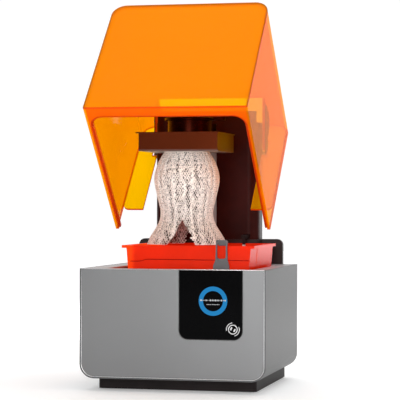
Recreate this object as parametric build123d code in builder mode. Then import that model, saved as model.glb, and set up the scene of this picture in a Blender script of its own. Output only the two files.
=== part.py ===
"""Desktop laser resin printer with its tinted cover open, as an assembly of separate pieces.

Frame: millimetres, +Z up, the front faces -Y, origin at the centre of the footprint on the floor.
The rest position has the cover open on its stop, the build platform at the top of its travel
and the wiper parked to the right of the platform.
"""

from build123d import *
from math import cos, pi, radians, sin
import os

# ---------------------------------------------------------------- driving dimensions
BASE_X = 175.0  # half width of the base shell
BASE_Y = 165.0  # half depth of the base shell
SHELL_Z = 23.1  # underside of the base shell
DECK_Z = 225.5  # top of the base
SHELL_T = 3.0
SHELL_R = 27.0  # lower side corners of the shell
PANEL_T = 4.0
GAP = 0.4  # visible line between neighbouring panels

FOOT_X = 150.0  # half width of the plinth
FOOT_FRONT = -128.0
FOOT_REAR = 163.0
FOOT_LIFT = 1.5  # the pads hold the plinth this far off the floor

COVER_X = 151.85  # half width of the cover
COVER_FRONT = -163.0
COVER_REAR = 152.0
COVER_TOP = 519.0
COVER_LOW = DECK_Z + 0.6
COVER_T = 4.0
COVER_R = 27.0
OPEN_ANGLE = 45.0
PIVOT_Y = 160.4
PIVOT_Z = 446.0
NOTCH_X = 107.0  # half width of the gap that the tower stands in
NOTCH_Y = 74.0  # front edge of the gap in the roof
BACK_Z = 277.0  # lower edge of the rear panels

TOWER_X = 104.0
TOWER_FRONT = 112.0
TOWER_T = 2.5
TOWER_R = 20.0
TOWER_FOOT_Z = 275.0  # top of the tower's foot and of the rear wall
TOWER_SIDE_Z = 506.0
SHIELD_Z = 528.0  # the tower's front face stands higher than its sides
SHIELD_Y = 121.0
SLOT_X = 22.0  # half width of the slot that the arm runs in
WALL_X = 147.0  # half width of the low rear wall
WALL_Y = 153.5

PLATE_Z = 443.0  # face of the build platform at the top of its travel
PLATE_X = 75.0
PLATE_FRONT = -120.0
PLATE_REAR = 25.0
PLATE_MID_Y = (PLATE_FRONT + PLATE_REAR) / 2
HUB_Y = -22.0
HUB_R = 42.0
PRINT_H = 175.0  # tallest print
PRINT_T = 4.0

WELL_X0 = -129.0
WELL_X1 = 146.5
WELL_Y0 = -140.0
WELL_Y1 = 100.0
WELL_FLOOR = 202.0
WELL_R = 2.0
TANK_TOP = 268.0
TANK_FLOOR = 214.0
FILM_Z = 221.0

WIPER_X = 86.0  # parked wiper
RAIL_Y = -134.5
RAIL_Z = 208.2

SCREEN_X = 72.9  # middle of the display panel
SCREEN_HALF = 59.5
SCREEN_LOW = 98.0
BUTTON_X = 114.3
BUTTON_Z = 117.8
BUTTON_R = 10.4

SCREW_X = 24.0  # lead screw
SCREW_Y = 124.0
FAN_X = 95.0
FAN_Z = 110.0

turn = radians(OPEN_ANGLE)


# ---------------------------------------------------------------- planes and outlines
def level(z):
    """A horizontal plane."""
    return Plane.XY.offset(z)


def upright(y):
    """A plane across the object, drawn as seen from the front; a positive extrusion comes forward."""
    return Plane.XZ.offset(-y)


def side(x):
    """A plane along the object, drawn with Y to the right; a positive extrusion goes to +X."""
    return Plane.YZ.offset(x)


def opened(y, z):
    """Where a point of the closed cover's side profile stands once the cover is open."""
    dy, dz = y - PIVOT_Y, z - PIVOT_Z
    return (PIVOT_Y + dy * cos(turn) + dz * sin(turn), PIVOT_Z - dy * sin(turn) + dz * cos(turn))


def lid_level(z):
    """level() of the closed cover, turned with the open cover."""
    return Plane(origin=(0, *opened(0, z)), x_dir=(1, 0, 0), z_dir=(0, sin(turn), cos(turn)))


def lid_upright(y):
    """upright() of the closed cover, turned with the open cover."""
    return Plane(origin=(0, *opened(y, 0)), x_dir=(1, 0, 0), z_dir=(0, -cos(turn), sin(turn)))


def lid_side(x):
    """side() of the closed cover, turned with the open cover."""
    return Plane(origin=(x, *opened(0, 0)), x_dir=(0, cos(turn), -sin(turn)), z_dir=(1, 0, 0))


def box(x0, x1, y0, y1, mode=Mode.ADD, radius=0):
    """A rectangle between two corners of the current sketch."""
    with Locations(((x0 + x1) / 2, (y0 + y1) / 2)):
        if radius:
            RectangleRounded(x1 - x0, y1 - y0, radius, mode=mode)
        else:
            Rectangle(x1 - x0, y1 - y0, mode=mode)


def outline(*points, mode=Mode.ADD):
    """A straight-sided outline in the current sketch."""
    with BuildLine() as path:
        Polyline(*points, close=True)
    make_face(path.edges(), mode=mode)


def bowl(half, near, far, radius, mode=Mode.ADD, mid=0.0):
    """A rectangle of the current sketch whose two corners at near are rounded."""
    with BuildLine() as path:
        FilletPolyline((mid - half, far), (mid - half, near), (mid + half, near), (mid + half, far),
                       radius=radius)
        Line((mid + half, far), (mid - half, far))
    make_face(path.edges(), mode=mode)


# ---------------------------------------------------------------- plinth and base casing
PAD_R = 12.0
PAD_SINK = 1.5

with BuildPart() as base_foot:
    with BuildSketch(level(FOOT_LIFT)):
        bowl(FOOT_X, FOOT_FRONT, FOOT_REAR, 9.0)
    extrude(amount=SHELL_Z - FOOT_LIFT)
    with BuildSketch(level(FOOT_LIFT + 4.0)):
        bowl(FOOT_X - 4.0, FOOT_FRONT + 4.0, FOOT_REAR - 4.0, 6.0)
    extrude(amount=SHELL_Z, mode=Mode.SUBTRACT)
    with BuildSketch(level(FOOT_LIFT)):
        with Locations((0, (FOOT_FRONT + FOOT_REAR) / 2)):
            with GridLocations(2 * FOOT_X - 60.0, FOOT_REAR - FOOT_FRONT - 60.0, 2, 2):
                Circle(PAD_R + 0.2)
        Circle(PAD_R + 0.2)
    extrude(amount=PAD_SINK, mode=Mode.SUBTRACT)

with BuildPart() as rubber_pads:
    with BuildSketch(level(0)):
        with Locations((0, (FOOT_FRONT + FOOT_REAR) / 2)):
            with GridLocations(2 * FOOT_X - 60.0, FOOT_REAR - FOOT_FRONT - 60.0, 2, 2):
                Circle(PAD_R)
        Circle(PAD_R)
    extrude(amount=FOOT_LIFT + PAD_SINK)
    chamfer(rubber_pads.edges().group_by(Axis.Z)[0], 0.8)

with BuildPart() as base_shell:
    with BuildSketch(upright(BASE_Y)):
        bowl(BASE_X, SHELL_Z, DECK_Z, SHELL_R)
        bowl(BASE_X - SHELL_T, SHELL_Z + SHELL_T, DECK_Z + 1.0, SHELL_R - SHELL_T, Mode.SUBTRACT)
    extrude(amount=2 * BASE_Y)

PANEL_X = BASE_X - SHELL_T - GAP
PANEL_LOW = SHELL_Z + SHELL_T + GAP
PANEL_R = SHELL_R - SHELL_T - GAP

with BuildPart() as front_panel:
    with BuildSketch(upright(-BASE_Y + PANEL_T + GAP)):
        bowl(PANEL_X, PANEL_LOW, DECK_Z, PANEL_R)
        bowl(SCREEN_HALF + GAP, SCREEN_LOW - GAP, DECK_Z + 1.0, 17.4, Mode.SUBTRACT, SCREEN_X)
    extrude(amount=PANEL_T)
    chamfer(front_panel.edges().filter_by(Axis.X).group_by(Axis.Z)[-1].group_by(Axis.Y)[0], 1.0)

SOCKET_X = -112.0
with BuildPart() as rear_panel:
    with BuildSketch(upright(BASE_Y - GAP)):
        bowl(PANEL_X, PANEL_LOW, DECK_Z - SHELL_T - 0.2, PANEL_R)
        with Locations((FAN_X, FAN_Z)):
            with GridLocations(0, 7.0, 1, 8):
                SlotOverall(52.0, 3.6, mode=Mode.SUBTRACT)
        with Locations((0, FAN_Z)):
            with GridLocations(0, 7.0, 1, 8):
                SlotOverall(64.0, 3.6, mode=Mode.SUBTRACT)
        with Locations((SOCKET_X, 60.0)):
            Rectangle(27.4, 20.4, mode=Mode.SUBTRACT)
        with Locations((SOCKET_X, 92.0)):
            Rectangle(22.4, 18.4, mode=Mode.SUBTRACT)
        with Locations((SOCKET_X, 125.0)):
            Rectangle(16.4, 13.9, mode=Mode.SUBTRACT)
        with Locations((SOCKET_X, 150.0)):
            Rectangle(12.4, 11.4, mode=Mode.SUBTRACT)
        with GridLocations(2 * PANEL_X - 30.0, 0, 2, 1):
            with Locations((0, 60.0), (0, 205.0)):
                Circle(1.6, mode=Mode.SUBTRACT)
    extrude(amount=PANEL_T)

with BuildPart() as case_screws:
    with BuildSketch(upright(BASE_Y - GAP)):
        with GridLocations(2 * PANEL_X - 30.0, 0, 2, 1):
            with Locations((0, 60.0), (0, 205.0)):
                Circle(1.5)
    extrude(amount=PANEL_T + 4.0)
    with BuildSketch(upright(BASE_Y - GAP)):
        with GridLocations(2 * PANEL_X - 30.0, 0, 2, 1):
            with Locations((0, 60.0), (0, 205.0)):
                Circle(3.2)
    extrude(amount=-1.6)

with BuildPart() as rear_sockets:
    for centre_z, wide, high in ((60.0, 27.0, 20.0), (125.0, 16.0, 13.5), (150.0, 12.0, 11.0)):
        with BuildSketch(upright(BASE_Y - GAP)):
            with Locations((SOCKET_X, centre_z)):
                Rectangle(wide, high)
        extrude(amount=18.0)
        with BuildSketch(upright(BASE_Y - GAP)):
            with Locations((SOCKET_X, centre_z)):
                Rectangle(wide - 4.0, high - 4.0)
        extrude(amount=14.0, mode=Mode.SUBTRACT)
    with BuildSketch(upright(BASE_Y - GAP - 14.0)):
        with Locations((SOCKET_X, 60.0)):
            with Locations((-7.0, -2.0), (0, 3.0), (7.0, -2.0)):
                Rectangle(2.0, 4.0)
    extrude(amount=-10.0)
    with BuildSketch(upright(BASE_Y - GAP)):
        with Locations((SOCKET_X, 92.0)):
            Rectangle(22.0, 18.0)
    extrude(amount=18.0)
    with BuildSketch(upright(BASE_Y - GAP)):
        with Locations((SOCKET_X, 92.0)):
            Rectangle(19.6, 15.6)
    extrude(amount=16.0, mode=Mode.SUBTRACT)

SWITCH_Y = BASE_Y - GAP - 5.0
SWITCH_Z = 92.0
with BuildPart() as power_switch:
    with BuildSketch(side(SOCKET_X - 9.5)):
        with BuildLine():
            Polyline((SWITCH_Y - 6.0, SWITCH_Z + 6.0), (SWITCH_Y - 6.0, SWITCH_Z - 6.0),
                     (SWITCH_Y + 3.6, SWITCH_Z - 7.0))
            Line((SWITCH_Y + 3.6, SWITCH_Z - 7.0), (SWITCH_Y + 3.0, SWITCH_Z))
            Line((SWITCH_Y + 3.0, SWITCH_Z), (SWITCH_Y + 5.0, SWITCH_Z + 6.2))
            Line((SWITCH_Y + 5.0, SWITCH_Z + 6.2), (SWITCH_Y - 6.0, SWITCH_Z + 6.0))
        make_face()
    extrude(amount=19.0)

with BuildPart() as deck_plate:
    with BuildSketch(level(DECK_Z - SHELL_T)):
        box(-PANEL_X, PANEL_X, -BASE_Y + PANEL_T + 2 * GAP, BASE_Y)
        box(SCREEN_X - SCREEN_HALF - 0.3, SCREEN_X + SCREEN_HALF + 0.3, -BASE_Y, -BASE_Y + 7.7, Mode.SUBTRACT)
        box(WELL_X0, WELL_X1, WELL_Y0, WELL_Y1, Mode.SUBTRACT, radius=WELL_R)
        box(-40.0, 42.0, TOWER_FRONT + TOWER_T, 141.0, Mode.SUBTRACT)
    extrude(amount=SHELL_T)

# ---------------------------------------------------------------- tank well and optics
WINDOW_HALF = 72.0
with BuildPart() as tank_well:
    with BuildSketch(level(WELL_FLOOR - 3.0)):
        box(WELL_X0 - 3.0, WELL_X1 + 3.0, WELL_Y0 - 3.0, WELL_Y1 + 3.0, radius=8.0)
    extrude(amount=DECK_Z - SHELL_T - WELL_FLOOR + 3.0)
    with BuildSketch(level(WELL_FLOOR)):
        box(WELL_X0, WELL_X1, WELL_Y0, WELL_Y1, radius=WELL_R)
    extrude(amount=DECK_Z, mode=Mode.SUBTRACT)
    with BuildSketch(level(WELL_FLOOR - 3.0)):
        with Locations((0, PLATE_MID_Y)):
            Rectangle(2 * WINDOW_HALF, 2 * WINDOW_HALF)
    extrude(amount=3.0, mode=Mode.SUBTRACT)
    with BuildSketch(level(WELL_FLOOR - 2.0)):
        with Locations((0, PLATE_MID_Y)):
            Rectangle(2 * WINDOW_HALF + 6.4, 2 * WINDOW_HALF + 6.4)
    extrude(amount=2.0, mode=Mode.SUBTRACT)
    with BuildSketch(level(WELL_FLOOR)):
        box(WELL_X0, WELL_X1, -129.0, -126.0)
        box(WELL_X0, WELL_X1, 60.0, 66.0)
    extrude(amount=5.0)

with BuildPart() as optical_window:
    with BuildSketch(level(WELL_FLOOR - 2.0)):
        with Locations((0, PLATE_MID_Y)):
            Rectangle(2 * WINDOW_HALF + 6.0, 2 * WINDOW_HALF + 6.0)
    extrude(amount=2.0)

FLOOR_Z = SHELL_Z + SHELL_T  # inside floor of the base
MIRROR_Y0, MIRROR_Z0 = -122.0, 62.0
MIRROR_Y1, MIRROR_Z1 = 22.0, 182.0
with BuildPart() as optics_frame:
    for x in (-78.0, 74.0):
        with BuildSketch(side(x)):
            outline((MIRROR_Y0 - 6.0, FLOOR_Z), (MIRROR_Y1 + 10.0, FLOOR_Z),
                    (MIRROR_Y1 + 10.0, MIRROR_Z1 - 12.0), (MIRROR_Y1 - 2.0, MIRROR_Z1 - 2.0),
                    (MIRROR_Y0 - 6.0, MIRROR_Z0 - 5.0))
            outline((MIRROR_Y0 + 34.0, FLOOR_Z + 14.0), (MIRROR_Y1 - 4.0, FLOOR_Z + 14.0),
                    (MIRROR_Y1 - 4.0, MIRROR_Z1 - 34.0), mode=Mode.SUBTRACT)
        extrude(amount=4.0)
    with BuildSketch(level(FLOOR_Z)):
        box(-74.0, 74.0, MIRROR_Y0, MIRROR_Y1 + 4.0)
        box(-60.0, 60.0, MIRROR_Y0 + 14.0, MIRROR_Y1 - 10.0, Mode.SUBTRACT)
    extrude(amount=4.0)

with BuildPart() as main_mirror:
    with BuildSketch(side(-76.0)):
        outline((MIRROR_Y0, MIRROR_Z0), (MIRROR_Y1, MIRROR_Z1), (MIRROR_Y1 - 3.2, MIRROR_Z1 + 3.84),
                (MIRROR_Y0 - 3.2, MIRROR_Z0 + 3.84))
    extrude(amount=152.0)

GALVO_Y = 66.0
GALVO_Z = 92.0
with BuildPart() as galvo_block:
    with BuildSketch(level(FLOOR_Z)):
        box(-26.0, 26.0, GALVO_Y - 12.0, GALVO_Y + 24.0)
    extrude(amount=GALVO_Z - 14.0 - FLOOR_Z)
    with BuildSketch(level(GALVO_Z - 14.0)):
        box(-26.0, -12.0, GALVO_Y - 12.0, GALVO_Y + 12.0)
        box(-26.0, 26.0, GALVO_Y + 12.0, GALVO_Y + 24.0)
    extrude(amount=26.0)
    with BuildSketch(upright(GALVO_Y + 25.0)):
        with Locations((10.0, GALVO_Z)):
            Circle(4.06)
    extrude(amount=14.0, mode=Mode.SUBTRACT)
    with BuildSketch(side(-27.0)):
        with Locations((GALVO_Y - 4.0, GALVO_Z + 4.0)):
            Circle(4.06)
    extrude(amount=16.0, mode=Mode.SUBTRACT)

with BuildPart() as galvo_mirror_x:
    with BuildSketch(side(-25.0)):
        with Locations((GALVO_Y - 4.0, GALVO_Z + 4.0)):
            Circle(4.0)
    extrude(amount=16.0)
    with BuildSketch(side(-9.0)):
        with Locations((GALVO_Y - 4.0, GALVO_Z + 4.0)):
            Rectangle(1.4, 7.0, rotation=45)
    extrude(amount=10.0)

with BuildPart() as galvo_mirror_y:
    with BuildSketch(upright(GALVO_Y + 23.0)):
        with Locations((10.0, GALVO_Z)):
            Circle(4.0)
    extrude(amount=13.0)
    with BuildSketch(upright(GALVO_Y + 10.0)):
        with Locations((10.0, GALVO_Z)):
            Rectangle(1.4, 7.0, rotation=45)
    extrude(amount=12.0)

with BuildPart() as laser_module:
    with BuildSketch(side(40.0)):
        with Locations((GALVO_Y, 70.0)):
            Circle(9.0)
    extrude(amount=46.0)
    with BuildSketch(side(50.0)):
        box(GALVO_Y - 16.0, GALVO_Y + 16.0, FLOOR_Z, 88.0)
        with Locations((GALVO_Y, 70.0)):
            Circle(9.0, mode=Mode.SUBTRACT)
    extrude(amount=24.0)
    for x in (52.0, 57.0, 62.0, 67.0):
        with BuildSketch(side(x)):
            box(GALVO_Y - 17.0, GALVO_Y - 12.0, 40.0, 89.0)
            box(GALVO_Y + 12.0, GALVO_Y + 17.0, 40.0, 89.0)
        extrude(amount=2.5, mode=Mode.SUBTRACT)

# ---------------------------------------------------------------- electronics
BOARD_Z = 40.0
with BuildPart() as mainboard:
    with BuildSketch(level(BOARD_Z)):
        box(-156.0, -86.0, -110.0, 40.0)
    extrude(amount=1.6)
    with BuildSketch(level(FLOOR_Z)):
        with Locations((-121.0, -35.0)):
            with GridLocations(50.0, 138.0, 2, 2):
                Circle(3.0)
    extrude(amount=BOARD_Z - FLOOR_Z)
    with BuildSketch(level(BOARD_Z + 1.6)):
        box(-140.0, -112.0, -70.0, -42.0)
        box(-152.0, -142.0, -10.0, 30.0)
        box(-106.0, -92.0, -100.0, -20.0)
    extrude(amount=8.0)
    with BuildSketch(level(BOARD_Z + 1.6)):
        with Locations((-124.0, 0), (-124.0, 18.0)):
            Circle(5.0)
    extrude(amount=14.0)

with BuildPart() as power_supply:
    with BuildSketch(level(FLOOR_Z)):
        box(86.0, 146.0, -120.0, 20.0)
    extrude(amount=38.0)
    fillet(power_supply.edges().filter_by(Axis.Z), 2.0)
    with BuildSketch(level(FLOOR_Z + 36.0)):
        with Locations((116.0, -50.0)):
            with GridLocations(0, 8.0, 1, 12):
                SlotOverall(46.0, 3.0)
    extrude(amount=3.0, mode=Mode.SUBTRACT)

FAN_REAR = BASE_Y - GAP - PANEL_T
with BuildPart() as fan_frame:
    with BuildSketch(upright(FAN_REAR)):
        box(FAN_X - 30.0, FAN_X + 30.0, FAN_Z - 30.0, FAN_Z + 30.0, radius=3.0)
        with Locations((FAN_X, FAN_Z)):
            Circle(28.5, mode=Mode.SUBTRACT)
            with GridLocations(50.0, 50.0, 2, 2):
                Circle(2.0, mode=Mode.SUBTRACT)
    extrude(amount=15.0)
    with BuildSketch(upright(FAN_REAR - 13.0)):
        with Locations((FAN_X, FAN_Z)):
            Circle(13.0)
            Rectangle(60.0, 3.0)
            Rectangle(3.0, 60.0)
    extrude(amount=2.0)
    with BuildSketch(upright(FAN_REAR - 6.0)):
        with Locations((FAN_X, FAN_Z)):
            Circle(2.0)
    extrude(amount=7.0)

with BuildPart() as fan_rotor:
    with BuildSketch(upright(FAN_REAR - 2.0)):
        with Locations((FAN_X, FAN_Z)):
            Circle(12.0)
            with PolarLocations(19.0, 7):
                Rectangle(16.5, 1.6, rotation=32)
    extrude(amount=10.0)
    with BuildSketch(upright(FAN_REAR - 5.0)):
        with Locations((FAN_X, FAN_Z)):
            Circle(2.05)
    extrude(amount=8.0, mode=Mode.SUBTRACT)

# ---------------------------------------------------------------- display panel
BEZEL_FRONT = -BASE_Y + GAP
with BuildPart() as display_bezel:
    with BuildSketch(upright(BEZEL_FRONT + 7.0)):
        bowl(SCREEN_HALF, SCREEN_LOW, DECK_Z - 0.2, 17.0, mid=SCREEN_X)
    extrude(amount=7.0)
    with BuildSketch(upright(BEZEL_FRONT + 1.8)):
        bowl(SCREEN_HALF - 1.0, SCREEN_LOW + 1.0, DECK_Z - 1.4, 16.0, mid=SCREEN_X)
    extrude(amount=3.0, mode=Mode.SUBTRACT)
    with BuildSketch(upright(BEZEL_FRONT + 8.0)):
        box(27.0, 127.6, 133.0, 206.0)
        with Locations((BUTTON_X, BUTTON_Z)):
            Circle(BUTTON_R + 0.4)
    extrude(amount=9.0, mode=Mode.SUBTRACT)

with BuildPart() as display_glass:
    with BuildSketch(upright(BEZEL_FRONT + 1.7)):
        bowl(SCREEN_HALF - 1.2, SCREEN_LOW + 1.2, DECK_Z - 1.6, 15.8, mid=SCREEN_X)
        with Locations((BUTTON_X, BUTTON_Z)):
            Circle(BUTTON_R + 0.4, mode=Mode.SUBTRACT)
    extrude(amount=1.8)

with BuildPart() as display_module:
    with BuildSketch(upright(BEZEL_FRONT + 8.6)):
        box(27.3, 127.3, 133.3, 205.7)
    extrude(amount=6.8)
    with BuildSketch(upright(BEZEL_FRONT + 8.7)):
        box(21.0, 133.0, 128.0, 211.0)
    extrude(amount=-1.6)

with BuildPart() as panel_button:
    with BuildSketch(upright(BEZEL_FRONT + 7.0)):
        with Locations((BUTTON_X, BUTTON_Z)):
            Circle(BUTTON_R)
    extrude(amount=7.4)
    fillet(panel_button.edges().group_by(Axis.Y)[0], 0.6)

# ---------------------------------------------------------------- tower
with BuildPart() as tower_base:
    with BuildSketch(level(DECK_Z)):
        box(-TOWER_X - 1.5, TOWER_X + 1.5, TOWER_FRONT - 2.0, BASE_Y)
        box(-TOWER_X + 2.0, TOWER_X - 2.0, TOWER_FRONT + 2.0, BASE_Y - 3.0, Mode.SUBTRACT)
    extrude(amount=TOWER_FOOT_Z - DECK_Z)
    with BuildSketch(upright(BASE_Y)):
        with BuildLine():
            FilletPolyline((-WALL_X, DECK_Z), (-WALL_X, TOWER_FOOT_Z), (WALL_X, TOWER_FOOT_Z),
                           (WALL_X, DECK_Z), radius=12.0)
            Line((WALL_X, DECK_Z), (-WALL_X, DECK_Z))
        make_face()
        box(-TOWER_X, TOWER_X, DECK_Z - 1.0, TOWER_FOOT_Z + 1.0, Mode.SUBTRACT)
    extrude(amount=BASE_Y - WALL_Y)
    with BuildSketch(upright(TOWER_FRONT + 3.0)):
        box(-SLOT_X, SLOT_X, 266.0, TOWER_FOOT_Z + 1.0)
    extrude(amount=8.0, mode=Mode.SUBTRACT)

with BuildPart() as tower_front:
    with BuildSketch(level(TOWER_FOOT_Z)):
        bowl(TOWER_X, TOWER_FRONT, 140.0, TOWER_R)
        bowl(TOWER_X - TOWER_T, TOWER_FRONT + TOWER_T, 141.0, TOWER_R - TOWER_T, Mode.SUBTRACT)
    extrude(amount=SHIELD_Z - TOWER_FOOT_Z)
    with BuildSketch(level(TOWER_SIDE_Z)):
        box(-TOWER_X - 1.0, TOWER_X + 1.0, SHIELD_Y, 141.0)
    extrude(amount=40.0, mode=Mode.SUBTRACT)
    with BuildSketch(upright(TOWER_FRONT + 3.0)):
        box(-SLOT_X, SLOT_X, TOWER_FOOT_Z - 1.0, 502.5)
        box(77.0, 90.0, 276.0, 285.0)
    extrude(amount=4.0, mode=Mode.SUBTRACT)

BAY_X = 93.5
BAY_Y0 = 142.0
BAY_Y1 = 162.2
PIN_R = 3.5
PIN_IN = 95.0
with BuildPart() as tower_rear:
    with BuildSketch(level(TOWER_FOOT_Z)):
        box(-TOWER_X, TOWER_X, 140.3, BASE_Y)
        box(-TOWER_X + TOWER_T, TOWER_X - TOWER_T, 140.0, BASE_Y - TOWER_T, Mode.SUBTRACT)
    extrude(amount=TOWER_SIDE_Z - TOWER_FOOT_Z)
    with BuildSketch(level(TOWER_SIDE_Z - 2.5)):
        box(-TOWER_X, TOWER_X, 140.3, BASE_Y)
        box(-TOWER_X + 10.0, TOWER_X - 10.0, SHIELD_Y + 0.3, 140.3)
        box(-BAY_X, BAY_X, BAY_Y0, BAY_Y1, Mode.SUBTRACT)
    extrude(amount=2.5)
    with BuildSketch(upright(BASE_Y - TOWER_T)):
        for x in (-98.5, 98.5):
            with Locations((x, PIVOT_Z)):
                Rectangle(7.0, 24.0)
    extrude(amount=14.0)
    for x in (-TOWER_X - 1.0, PIN_IN):
        with BuildSketch(side(x)):
            with Locations((PIVOT_Y, PIVOT_Z)):
                Circle(PIN_R)
        extrude(amount=10.0, mode=Mode.SUBTRACT)

with BuildPart() as hinge_pins:
    for direction in (-1, 1):
        with BuildSketch(side(direction * PIN_IN)):
            with Locations((PIVOT_Y, PIVOT_Z)):
                Circle(PIN_R)
        extrude(amount=direction * 22.0)
        with BuildSketch(side(direction * 114.8)):
            with Locations((PIVOT_Y, PIVOT_Z)):
                Circle(6.0)
        extrude(amount=direction * 2.2)

# ---------------------------------------------------------------- vertical drive
with BuildPart() as z_column:
    with BuildSketch(level(196.0)):
        box(-38.0, 38.0, 133.0, 138.0)
    extrude(amount=304.0)
    with BuildSketch(level(196.0)):
        box(-38.0, 48.0, 104.0, 138.0)
        with Locations((SCREW_X, SCREW_Y)):
            Circle(11.0, mode=Mode.SUBTRACT)
    extrude(amount=6.0)
    with BuildSketch(level(DECK_Z)):
        box(-52.0, -37.0, 128.0, 138.0)
        box(37.0, 52.0, 128.0, 138.0)
    extrude(amount=5.0)
    with BuildSketch(level(496.0)):
        box(14.0, 34.0, 117.4, 133.0)
        with Locations((SCREW_X, SCREW_Y)):
            Circle(4.06, mode=Mode.SUBTRACT)
    extrude(amount=4.0)

with BuildPart() as linear_rail:
    with BuildSketch(level(212.0)):
        box(-19.5, -4.5, 125.0, 133.0)
    extrude(amount=280.0)

with BuildPart() as z_motor:
    with BuildSketch(level(150.0)):
        box(SCREW_X - 21.0, SCREW_X + 21.0, SCREW_Y - 21.0, SCREW_Y + 21.0)
    extrude(amount=46.0)
    chamfer(z_motor.edges().filter_by(Axis.Z), 3.5)

with BuildPart() as lead_screw:
    with BuildSketch(level(196.2)):
        with Locations((SCREW_X, SCREW_Y)):
            Circle(3.0)
    extrude(amount=8.0)
    with BuildSketch(level(204.0)):
        with Locations((SCREW_X, SCREW_Y)):
            Circle(8.5)
    extrude(amount=18.0)
    with BuildSketch(level(222.0)):
        with Locations((SCREW_X, SCREW_Y)):
            Circle(4.0)
    extrude(amount=279.0)

with BuildPart() as rail_block:
    with BuildSketch(level(455.0)):
        box(-29.0, 5.0, 117.0, 131.5)
        box(-19.8, -4.2, 124.7, 132.0, Mode.SUBTRACT)
    extrude(amount=46.0)

with BuildPart() as lead_nut:
    with BuildSketch(level(474.0)):
        box(15.5, 32.5, 117.0, 132.5)
        with Locations((SCREW_X, SCREW_Y)):
            Circle(4.06, mode=Mode.SUBTRACT)
    extrude(amount=18.0)

ARM_Z0 = 489.0
ARM_Z1 = 501.0
with BuildPart() as z_arm:
    with BuildSketch(level(ARM_Z0)):
        box(-20.0, 20.0, -38.0, 116.0)
    extrude(amount=ARM_Z1 - ARM_Z0)
    with BuildSketch(level(470.0)):
        box(-28.0, 32.0, 114.8, 117.0)
    extrude(amount=31.0)
    with BuildSketch(side(-3.0)):
        outline((30.0, ARM_Z0), (114.8, ARM_Z0), (114.8, 472.0))
    extrude(amount=6.0)

# ---------------------------------------------------------------- build platform
with BuildPart() as build_plate:
    with BuildSketch(level(PLATE_Z)):
        box(-PLATE_X, PLATE_X, PLATE_FRONT, PLATE_REAR)
    extrude(amount=3.0)

LID_Z = 476.2
with BuildPart() as platform_body:
    with BuildSketch(level(PLATE_Z + 3.0)):
        box(-PLATE_X, PLATE_X, PLATE_FRONT, PLATE_REAR)
    extrude(amount=LID_Z - PLATE_Z - 3.0)
    with BuildSketch(level(PLATE_Z + 3.0)):
        box(-PLATE_X + 4.0, PLATE_X - 4.0, PLATE_FRONT + 4.0, PLATE_REAR - 4.0)
        box(-6.0, 6.0, PLATE_FRONT, PLATE_REAR, Mode.SUBTRACT)
    extrude(amount=LID_Z - PLATE_Z - 7.0, mode=Mode.SUBTRACT)

with BuildPart() as platform_lid:
    with BuildSketch(level(LID_Z)):
        box(-PLATE_X - 5.8, PLATE_X + 1.5, PLATE_FRONT - 1.0, PLATE_REAR + 3.0)
    extrude(amount=2.0)

HUB_Z = LID_Z + 2.0
with BuildPart() as platform_hub:
    with BuildSketch(level(HUB_Z)):
        with Locations((0, HUB_Y)):
            Circle(HUB_R)
    extrude(amount=503.0 - HUB_Z)
    with BuildSketch(upright(HUB_Y + HUB_R + 1.0)):
        box(-20.3, 20.3, ARM_Z0 - 0.3, ARM_Z1 + 0.3)
    extrude(amount=HUB_Y + HUB_R + 1.0 + 38.5, mode=Mode.SUBTRACT)
    with BuildSketch(level(503.0)):
        with Locations((0, HUB_Y)):
            Circle(5.0)
    extrude(amount=5.6)
    with BuildSketch(level(508.6)):
        with Locations((0, HUB_Y)):
            Circle(9.0)
    extrude(amount=1.6)

with BuildPart() as latch_lever:
    with BuildSketch(level(503.4)):
        with Locations((0, HUB_Y)):
            Circle(48.0)
    extrude(amount=5.0)
    fillet(latch_lever.edges().group_by(Axis.Z)[-1], 2.0)
    with BuildSketch(level(503.4)):
        with BuildLine():
            Line((0, HUB_Y + 9.0), (62.0, HUB_Y + 7.0))
            ThreePointArc((62.0, HUB_Y + 7.0), (69.0, HUB_Y), (62.0, HUB_Y - 7.0))
            Polyline((62.0, HUB_Y - 7.0), (0, HUB_Y - 9.0), (0, HUB_Y + 9.0))
        make_face()
    extrude(amount=5.0)
    with BuildSketch(level(503.4)):
        with Locations((0, HUB_Y)):
            Circle(5.05)
    extrude(amount=8.0, mode=Mode.SUBTRACT)

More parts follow.
